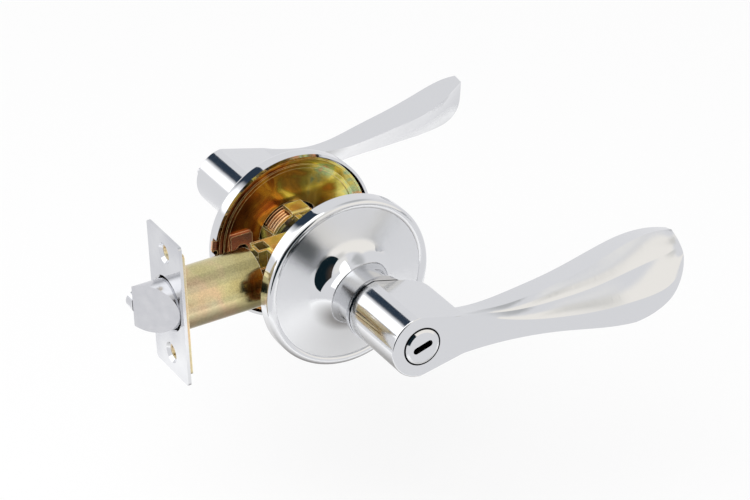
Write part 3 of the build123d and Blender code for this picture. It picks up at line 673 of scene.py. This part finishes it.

# Liners: wide steel pressings inside the roses, plated as the chassis is. The film is thick and
# red-brown towards the latch and thins to olive and yellow-green on the other side, and pinkish on the
# raised screw pads and the hook. The lip that meets the door and the edges are painted pale, a painted
# highlight.
LINER_PATCH_MM = 14.0
LINER_TINTS = (
    (0.1, "#5A3014"),
    (0.26, "#864A20"),
    (0.38, "#B0702E"),
    (0.46, "#DCA444"),
    (0.53, "#B08A3C"),
    (0.6, "#B4A84C"),
    (0.7, "#E4D474"),
    (0.78, "#A4C498"),
    (0.87, "#E0986C"),
)
LINER_SWIRL = 1.2
LINER_DRIFT = {"From Min": -0.028, "From Max": 0.028, "To Min": -0.3, "To Max": 0.3}
LINER_METAL = {"To Min": 0.9, "To Max": 0.25}
LINER_ROUGHNESS = 0.23
PAD_TINT = "#E6AE94"
PAD_OFFSET_MM = 20.9
PAD_WIDTH_MM = 9.6
PAD_HEIGHT_MM = 14.2
PAD_FADE_MM = 0.4
HOOK_FROM_MM = 31.3
LIP_AND_EDGE_PAINTED_HIGHLIGHT = "#F2DCA0"
LIP_RADIUS_MM = 30.2
LIP_DEPTH_MM = 17.75
liner, tree, position = blank("yellow_zinc_on_liner")
axes = add(tree, "ShaderNodeSeparateXYZ", {0: position}).outputs
drift = add(tree, "ShaderNodeMapRange", {"Value": axes["X"], **LINER_DRIFT}).outputs[0]
film = plated_film(tree, position, LINER_PATCH_MM, LINER_TINTS, drift, detail=5.0, swirl=LINER_SWIRL)
aside = add(tree, "ShaderNodeMath", {0: axes["X"]}, operation="ABSOLUTE").outputs[0]
off_pad = add(tree, "ShaderNodeMath", {0: aside, 1: PAD_OFFSET_MM / 1000}, operation="SUBTRACT").outputs[0]
pad = 1.0
for way, half in ((off_pad, PAD_WIDTH_MM / 2), (axes["Z"], PAD_HEIGHT_MM / 2)):
    distance = add(tree, "ShaderNodeMath", {0: way}, operation="ABSOLUTE").outputs[0]
    near = add(
        tree,
        "ShaderNodeMapRange",
        {"Value": distance, "From Min": half / 1000, "From Max": (half - PAD_FADE_MM) / 1000},
    ).outputs[0]
    pad = add(tree, "ShaderNodeMath", {0: near, 1: pad}, operation="MULTIPLY").outputs[0]
radius = spindle_distance(tree, position)
hook = add(tree, "ShaderNodeMath", {0: radius, 1: HOOK_FROM_MM / 1000}, operation="GREATER_THAN").outputs[0]
raised = add(tree, "ShaderNodeMath", {0: pad, 1: hook}, operation="MAXIMUM").outputs[0]
tint = add(tree, "ShaderNodeMix", {0: raised, 6: film, 7: linear(PAD_TINT)}, data_type="RGBA").outputs[2]
# The lip and the edges are painted pale and less metallic, a painted highlight.
outer = add(
    tree, "ShaderNodeMath", {0: radius, 1: LIP_RADIUS_MM / 1000}, operation="GREATER_THAN"
).outputs[0]
depth = add(tree, "ShaderNodeMath", {0: axes["Y"]}, operation="ABSOLUTE").outputs[0]
low = add(tree, "ShaderNodeMath", {0: depth, 1: LIP_DEPTH_MM / 1000}, operation="LESS_THAN").outputs[0]
lip = add(tree, "ShaderNodeMath", {0: outer, 1: low}, operation="MULTIPLY").outputs[0]
edge = add(tree, "ShaderNodeMath", {0: painted_highlight_edges(tree), 1: lip}, operation="MAXIMUM").outputs[0]
tint = add(tree, "ShaderNodeMix", {0: edge, 6: tint, 7: linear(LIP_AND_EDGE_PAINTED_HIGHLIGHT)}, data_type="RGBA").outputs[2]
metal = add(tree, "ShaderNodeMapRange", {"Value": edge, **LINER_METAL}).outputs[0]
skin = add(
    tree, "ShaderNodeBsdfPrincipled", {"Base Color": tint, "Metallic": metal, "Roughness": LINER_ROUGHNESS}
).outputs[0]
add(tree, "ShaderNodeOutputMaterial", {"Surface": skin})
dress(("outside_liner", "inside_liner"), liner)

# Latch tube, backing plate and fork: rolled and stamped steel under a thin pale zinc film, a little darker
# and more olive towards the tube's inner end. The rolled surface is satin, with a grain of fine dark specks
# that is drawn coarser than the real one, so that it shows.
TUBE_PATCH_MM = 18.0
TUBE_TINTS = ((0.3, "#E6CDB4"), (0.46, "#D6CAA2"), (0.56, "#E0C49E"), (0.68, "#D0C692"), (0.92, "#B8AA70"))
TUBE_DRIFT = {"From Min": -0.045, "From Max": -0.026, "To Min": 0.0, "To Max": 0.45}
TUBE_ROUGHNESS = {"To Min": 0.13, "To Max": 0.22}
TUBE_METAL = {"To Min": 1.0, "To Max": 0.4}
SPECK_MM = 0.6
SPECK_SHADE = {"From Min": 0.42, "From Max": 0.6, "To Min": 0.86, "To Max": 1.0}
tube, tree, position = blank("satin_pale_zinc_on_rolled_steel")
across = add(tree, "ShaderNodeSeparateXYZ", {0: position}).outputs["X"]
drift = add(tree, "ShaderNodeMapRange", {"Value": across, **TUBE_DRIFT}).outputs[0]
film = plated_film(tree, position, TUBE_PATCH_MM, TUBE_TINTS, drift)
grain = add(
    tree, "ShaderNodeTexNoise", {"Vector": position, "Scale": 1000 / SPECK_MM, "Detail": 2.0}
).outputs[0]
gloss = add(tree, "ShaderNodeMapRange", {"Value": grain, **TUBE_ROUGHNESS}).outputs[0]
specks = add(tree, "ShaderNodeMapRange", {"Value": grain, **SPECK_SHADE}).outputs[0]
tint = add(tree, "ShaderNodeVectorMath", {0: film, "Scale": specks}, operation="SCALE").outputs[0]
# The edges are painted pale and less metallic, a painted highlight.
edge = painted_highlight_edges(tree)
tint = add(tree, "ShaderNodeMix", {0: edge, 6: tint, 7: linear(EDGE_PAINTED_HIGHLIGHT)}, data_type="RGBA").outputs[2]
metal = add(tree, "ShaderNodeMapRange", {"Value": edge, **TUBE_METAL}).outputs[0]
skin = add(
    tree, "ShaderNodeBsdfPrincipled", {"Base Color": tint, "Metallic": metal, "Roughness": gloss}
).outputs[0]
add(tree, "ShaderNodeOutputMaterial", {"Surface": skin})
dress(("latch_tube", "latch_fork", "backing_plate"), tube)

# Bolt and plunger: small castings, tumbled smooth and nickel-plated, which slide in the tube. They are
# softer than chrome and a little cloudy.
NICKEL_DARK = "#CBCCD0"
NICKEL_PALE = "#DDDDDF"
TUMBLED_MM = 3.0
TUMBLED_ROUGHNESS = {"To Min": 0.14, "To Max": 0.28}
nickel, tree, position = blank("nickel_on_tumbled_casting")
grain = add(
    tree, "ShaderNodeTexNoise", {"Vector": position, "Scale": 1000 / TUMBLED_MM, "Detail": 4.0}
).outputs[0]
gloss = add(tree, "ShaderNodeMapRange", {"Value": grain, **TUMBLED_ROUGHNESS}).outputs[0]
tone = add(
    tree, "ShaderNodeMix", {0: grain, 6: linear(NICKEL_DARK), 7: linear(NICKEL_PALE)}, data_type="RGBA"
).outputs[2]
skin = add(
    tree, "ShaderNodeBsdfPrincipled", {"Base Color": tone, "Metallic": 1.0, "Roughness": gloss}
).outputs[0]
add(tree, "ShaderNodeOutputMaterial", {"Surface": skin})
dress(("latch_bolt", "deadlatch_plunger"), nickel)

# Washers, retaining rings, lever catches, turn bar and latch tail: small steel pressings and pins in
# bright zinc, barrel-plated, which leaves them pale, a little blue and unevenly dull.
BRIGHT_ZINC = "#C0C4CA"
BARREL_MM = 2.0
BARREL_ROUGHNESS = {"To Min": 0.2, "To Max": 0.36}
plain, tree, position = blank("bright_zinc_on_steel")
grain = add(
    tree, "ShaderNodeTexNoise", {"Vector": position, "Scale": 1000 / BARREL_MM, "Detail": 4.0}
).outputs[0]
gloss = add(tree, "ShaderNodeMapRange", {"Value": grain, **BARREL_ROUGHNESS}).outputs[0]
skin = add(
    tree,
    "ShaderNodeBsdfPrincipled",
    {"Base Color": linear(BRIGHT_ZINC), "Metallic": 1.0, "Roughness": gloss},
).outputs[0]
add(tree, "ShaderNodeOutputMaterial", {"Surface": skin})
dress(("outside_washer", "inside_washer", "outside_retaining_ring", "inside_retaining_ring"), plain)
dress(("outside_lever_catch", "inside_lever_catch", "turn_bar", "latch_tail"), plain)

# Springs: zinc-plated music wire, wound in an open coil along X. The part that slides against each one
# pushes it shorter: the retractor its pair, the bolt the one behind it, and the plunger the small one
# in the bolt.
RETRACTOR_SPRING = {"start": 0.0043, "end": 0.0217, "coil_radius": 0.003, "wire": 0.0008, "turns": 7}
RETRACTOR_SPRING_HEIGHT = 0.00655
LATCH_SPRING = {"start": -0.0474, "end": -0.0315, "coil_radius": 0.0072, "wire": 0.0008, "turns": 5}
PIN_SPRING = {"start": -0.0583, "end": -0.0495, "coil_radius": 0.0011, "wire": 0.0004, "turns": 5}
PIN_SPRING_SIDE = 0.0073
WIRE_SIDES = 10
TURN_STEPS = 28
MERGE_BELOW = 0.000001


def wound_spring(name, start, end, coil_radius, wire, turns, side=0.0, height=0.0):
    """Winds a spring along X from start to end, round an axis at this side and height."""
    bpy.ops.mesh.primitive_circle_add(
        vertices=WIRE_SIDES,
        radius=wire / 2,
        fill_type="NGON",
        location=(coil_radius, 0, 0),
        rotation=(pi / 2, 0, 0),
    )
    coil = bpy.context.object
    coil.name = name
    bpy.ops.object.transform_apply(location=True, rotation=True, scale=True)
    winding = coil.modifiers.new("winding", "SCREW")
    winding.axis = "Z"
    winding.angle = 2 * pi * turns
    winding.screw_offset = end - start
    winding.steps = winding.render_steps = TURN_STEPS * turns
    bpy.ops.object.modifier_apply(modifier=winding.name)
    coil.rotation_euler = (0, pi / 2, 0)
    coil.location = (start, side, height)
    bpy.ops.object.transform_apply(location=True, rotation=True, scale=True)
    bpy.ops.object.mode_set(mode="EDIT")
    bpy.ops.mesh.select_all(action="SELECT")
    bpy.ops.mesh.remove_doubles(threshold=MERGE_BELOW)
    bpy.ops.mesh.normals_make_consistent(inside=False)
    bpy.ops.object.mode_set(mode="OBJECT")
    bpy.ops.object.shade_smooth_by_angle(angle=SMOOTH_BELOW)
    coil.data.materials.append(plain)
    return coil


for name, height in (
    ("upper_retractor_spring", RETRACTOR_SPRING_HEIGHT),
    ("lower_retractor_spring", -RETRACTOR_SPRING_HEIGHT),
):
    coil = wound_spring(name, height=height, **RETRACTOR_SPRING)
    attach(coil, "lock_case")
    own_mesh(coil)
    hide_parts("retractor_springs")

coil = wound_spring("latch_spring", **LATCH_SPRING)
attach(coil, "lock_case")
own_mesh(coil)
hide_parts("bolt_spring")

coil = wound_spring("pin_spring", side=PIN_SPRING_SIDE, **PIN_SPRING)
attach(coil, "bolt_slide")
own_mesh(coil)
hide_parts("plunger_spring")

# Spindles: tubes with a cam plate at the inner end, pressed and sintered from steel powder. Their open
# pores hold a film of oil, which leaves them dark, dull and finely mottled.
PORE_DARK = "#4C4A48"
PORE_PALE = "#8E8C88"
PORE_MM = 0.8
PORE_ROUGHNESS = {"To Min": 0.3, "To Max": 0.5}
sintered, tree, position = blank("oiled_sintered_steel")
grain = add(
    tree, "ShaderNodeTexNoise", {"Vector": position, "Scale": 1000 / PORE_MM, "Detail": 5.0}
).outputs[0]
tone = add(
    tree, "ShaderNodeMix", {0: grain, 6: linear(PORE_DARK), 7: linear(PORE_PALE)}, data_type="RGBA"
).outputs[2]
gloss = add(tree, "ShaderNodeMapRange", {"Value": grain, **PORE_ROUGHNESS}).outputs[0]
skin = add(
    tree, "ShaderNodeBsdfPrincipled", {"Base Color": tone, "Metallic": 1.0, "Roughness": gloss}
).outputs[0]
add(tree, "ShaderNodeOutputMaterial", {"Surface": skin})
dress(("outside_spindle", "inside_spindle"), sintered)
